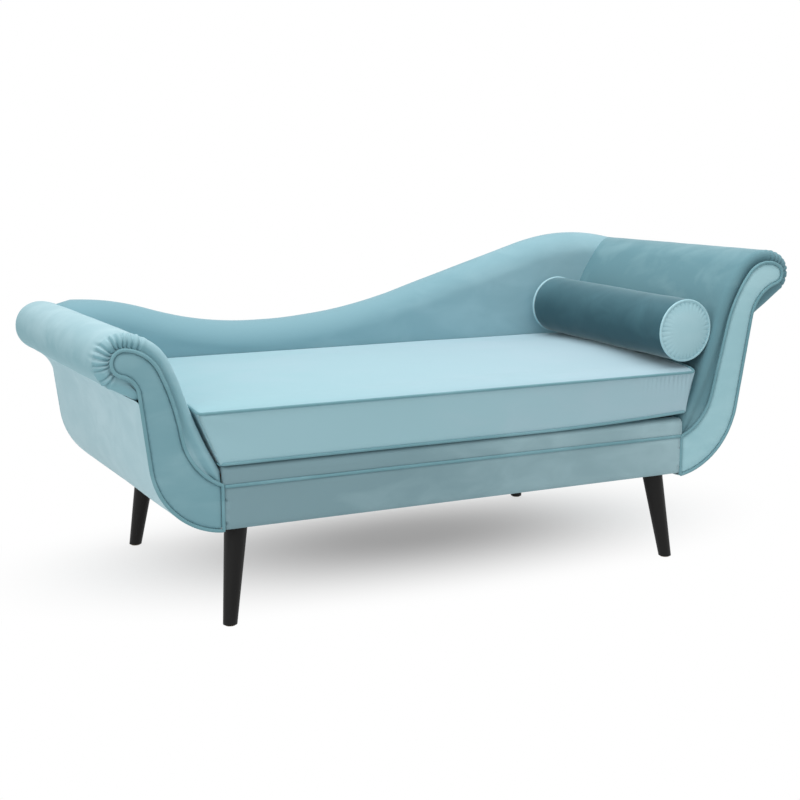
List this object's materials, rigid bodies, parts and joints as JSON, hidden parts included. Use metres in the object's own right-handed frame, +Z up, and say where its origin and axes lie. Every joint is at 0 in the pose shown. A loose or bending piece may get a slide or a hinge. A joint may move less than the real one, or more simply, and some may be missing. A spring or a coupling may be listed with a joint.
{
  "type": "chaise longue",
  "caption": "Upholstered chaise longue with a high and a low scrolled arm, a swept back, a loose seat cushion, a loose bolster and splayed tapered legs.",
  "frame": {"origin": "on the floor, under the middle of the part's length and depth", "axes": "+X along the seat from the low arm to the high arm, +Y from the open front to the back, +Z up"},
  "size_m": [1.6016, 0.684, 0.6978],
  "materials": {
    "velvet": "short pile velvet, soft sheen",
    "velvet_cushion": "short pile velvet, soft sheen",
    "velvet_bolster": "short pile velvet, soft sheen",
    "platform_cloth": "thin woven cloth, matte",
    "foam": "open cell foam with wadding",
    "hardwood": "planed, raw",
    "plywood": "sanded, raw",
    "hardboard": "smooth, raw",
    "dark_wood": "black satin lacquer",
    "glide_plastic": "matte",
    "zip_tape": "woven tape with moulded teeth",
    "zip_metal": "painted, satin",
    "steel": "plain steel"
  },
  "bodies": {
    "frame": {"back_base_rail": "hardwood", "back_foam": "foam", "back_panel": "plywood", "back_posts": "hardwood", "corner_blocks": "hardwood", "deck_cover": "platform_cloth", "deck_foam": "foam", "dust_cover": "platform_cloth", "end_rails": "hardwood", "front_left_leg": "dark_wood", "front_rail": "hardwood", "front_right_leg": "dark_wood", "inside_back_cover": "velvet", "left_arm_bars": "hardwood", "left_facing_board": "plywood", "left_facing_cover": "velvet", "left_facing_piping": "velvet", "left_front_arm_panel": "plywood", "left_inside_arm_board": "plywood", "left_inside_arm_cover": "velvet", "left_inside_arm_foam": "foam", "left_outside_arm_board": "plywood", "left_outside_arm_cover": "velvet", "left_rear_arm_panel": "plywood", "left_roll_end": "foam", "leg_bolts": "steel", "leg_glides": "glide_plastic", "leg_plates": "steel", "outside_back_board": "hardboard", "outside_back_cover": "velvet", "plate_screws": "steel", "rail_lower_cover": "velvet", "rail_piping": "velvet", "rail_upper_cover": "velvet", "rear_left_leg": "dark_wood", "rear_right_leg": "dark_wood", "rear_seat_rail": "hardwood", "right_arm_bars": "hardwood", "right_facing_board": "plywood", "right_facing_cover": "velvet", "right_facing_piping": "velvet", "right_front_arm_panel": "plywood", "right_inside_arm_board": "plywood", "right_inside_arm_cover": "velvet", "right_inside_arm_foam": "foam", "right_outside_arm_board": "plywood", "right_outside_arm_cover": "velvet", "right_rear_arm_panel": "plywood", "right_roll_end": "foam", "seat_springs": "steel", "seat_stretchers": "hardwood", "spring_clips": "steel"},
    "seat_cushion": {"seat_cushion_foam": "foam", "seat_cushion_cover": "velvet_cushion", "seat_cushion_piping": "velvet_cushion", "cushion_zip": "zip_tape"},
    "bolster": {"bolster_filling": "foam", "bolster_cover": "velvet_bolster", "bolster_piping": "velvet_bolster"},
    "zip_slider": {"cushion_zip_slider": "zip_metal"}
  },
  "joints": [
    {"name": "cushion_lift", "type": "slide", "parent": "frame", "child": "seat_cushion", "axis": [0, 0, 1], "range_m": [0, 0.3]},
    {"name": "bolster_lift", "type": "slide", "parent": "seat_cushion", "child": "bolster", "axis": [0, 0, 1], "range_m": [0, 0.35]},
    {"name": "zip_slide", "type": "slide", "parent": "seat_cushion", "child": "zip_slider", "axis": [1, 0, 0], "range_m": [0, 0.72]}
  ]
}
